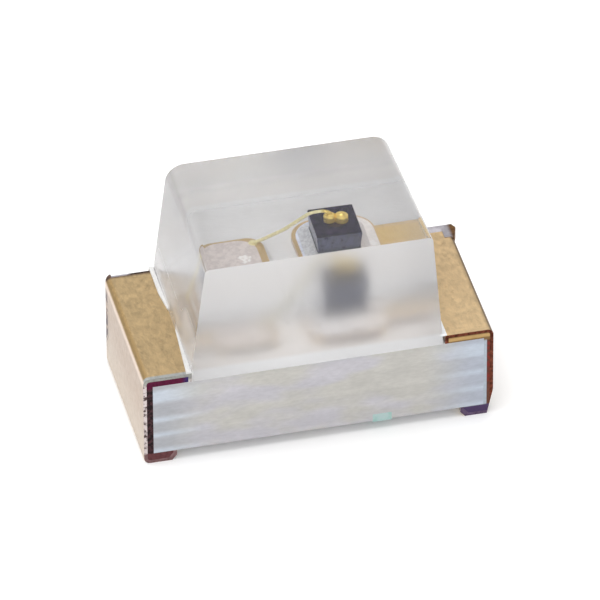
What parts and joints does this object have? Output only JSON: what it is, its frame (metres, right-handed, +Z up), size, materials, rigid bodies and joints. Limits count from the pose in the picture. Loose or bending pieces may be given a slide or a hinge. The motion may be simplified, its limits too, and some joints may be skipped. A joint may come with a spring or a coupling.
{
  "type": "chip led",
  "caption": "Surface-mount chip LED: clear moulded lens over a wired die on a white board with wrapped gold terminals.",
  "frame": {"origin": "middle of the board's outline, at the level of the undersides of the two soldering feet", "axes": "+X along the length from the wire-bonded left terminal to the die's right terminal, +Y to the back, +Z up out of the lens"},
  "size_m": [0.0016, 0.0008, 0.001],
  "materials": {
    "white_laminate": "sawn glass-resin laminate, matt white with faint plies",
    "copper": "sawn copper foil, dark red-brown",
    "gold_plating": "satin gold flash over nickel",
    "silver": "bright silver spot",
    "silver_paste": "cured silver-filled paste",
    "die_crystal": "sawn semiconductor, dark blue-grey",
    "die_top": "polished semiconductor, near-black navy",
    "gold": "bright gold",
    "clear_resin": "clear moulded resin, frosted where it is sawn",
    "green_ink": "green ink"
  },
  "bodies": {
    "root": {"board_laminate": "white_laminate", "left_terminal_copper": "copper", "left_terminal_plating": "gold_plating", "right_terminal_copper": "copper", "right_terminal_plating": "gold_plating", "left_pad_silver": "silver", "right_pad_silver": "silver", "die_attach_paste": "silver_paste", "die_crystal": "die_crystal", "die_emitter_layer": "die_top", "die_top_contact": "gold", "bond_wire": "gold", "lens": "clear_resin", "polarity_mark": "green_ink"}
  },
  "joints": []
}
